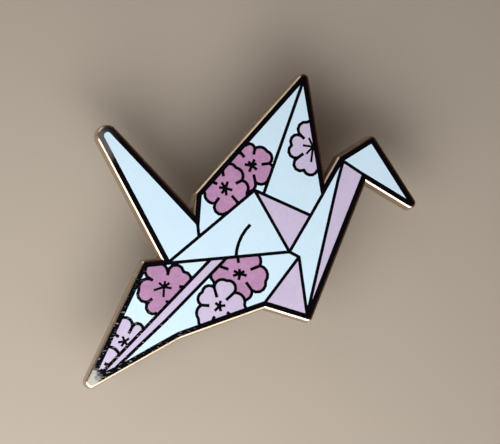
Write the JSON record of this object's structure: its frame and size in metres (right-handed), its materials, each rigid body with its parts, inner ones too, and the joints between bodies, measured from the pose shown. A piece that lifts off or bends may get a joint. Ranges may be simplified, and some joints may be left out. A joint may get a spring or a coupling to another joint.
{
  "type": "enamel lapel pin",
  "caption": "Flat lapel pin in the shape of an origami crane, with raised metal lines, coloured enamel between them, and nail posts held by rubber clutches.",
  "frame": {"origin": "under the middle of the plate's outline, at the level of the clutches' flat feet", "axes": "+X from the tail to the beak, +Y towards the raised wing, +Z out of the enamelled face"},
  "size_m": [0.0382, 0.036, 0.0088],
  "materials": {
    "plated_metal": "polished black nickel on the struck face, pale gold on the rounded edge and the side wall",
    "white_enamel": "polished level with the metal",
    "pale_lilac_enamel": "polished level with the metal",
    "pink_enamel": "polished level with the metal",
    "post_steel": "plain drawn steel",
    "clutch_rubber": "moulded, matt"
  },
  "bodies": {
    "pin": {"metal_plate": "plated_metal", "tail_enamel": "white_enamel", "wing_root_enamel": "white_enamel", "wing_tip_enamel": "white_enamel", "wing_gap_enamel": "white_enamel", "wing_back_enamel": "white_enamel", "body_enamel": "white_enamel", "neck_left_enamel": "white_enamel", "head_enamel": "white_enamel", "low_wing_corner_enamel": "white_enamel", "low_wing_notch_enamel": "white_enamel", "low_wing_edge_enamel": "white_enamel", "low_wing_middle_enamel": "white_enamel", "belly_left_enamel": "white_enamel", "belly_right_enamel": "white_enamel", "wing_side_blossom_enamel": "pale_lilac_enamel", "low_wing_bud_enamel": "pale_lilac_enamel", "low_wing_petal_enamel": "pale_lilac_enamel", "low_wing_strip_enamel": "pale_lilac_enamel", "belly_front_blossom_enamel": "pale_lilac_enamel", "breast_enamel": "pale_lilac_enamel", "neck_right_enamel": "pale_lilac_enamel", "belly_fold_enamel": "pale_lilac_enamel", "wing_front_blossom_enamel": "pink_enamel", "wing_rear_blossom_enamel": "pink_enamel", "low_wing_blossom_enamel": "pink_enamel", "belly_rear_blossom_enamel": "pink_enamel", "left_post": "post_steel", "right_post": "post_steel"},
    "left_clutch": {"left_clutch": "clutch_rubber"},
    "right_clutch": {"right_clutch": "clutch_rubber"}
  },
  "joints": [
    {"name": "left_clutch_pull", "type": "slide", "parent": "pin", "child": "left_clutch", "axis": [0, 0, -1], "range_m": [0, 0.008]},
    {"name": "right_clutch_pull", "type": "slide", "parent": "pin", "child": "right_clutch", "axis": [0, 0, -1], "range_m": [0, 0.008]}
  ]
}
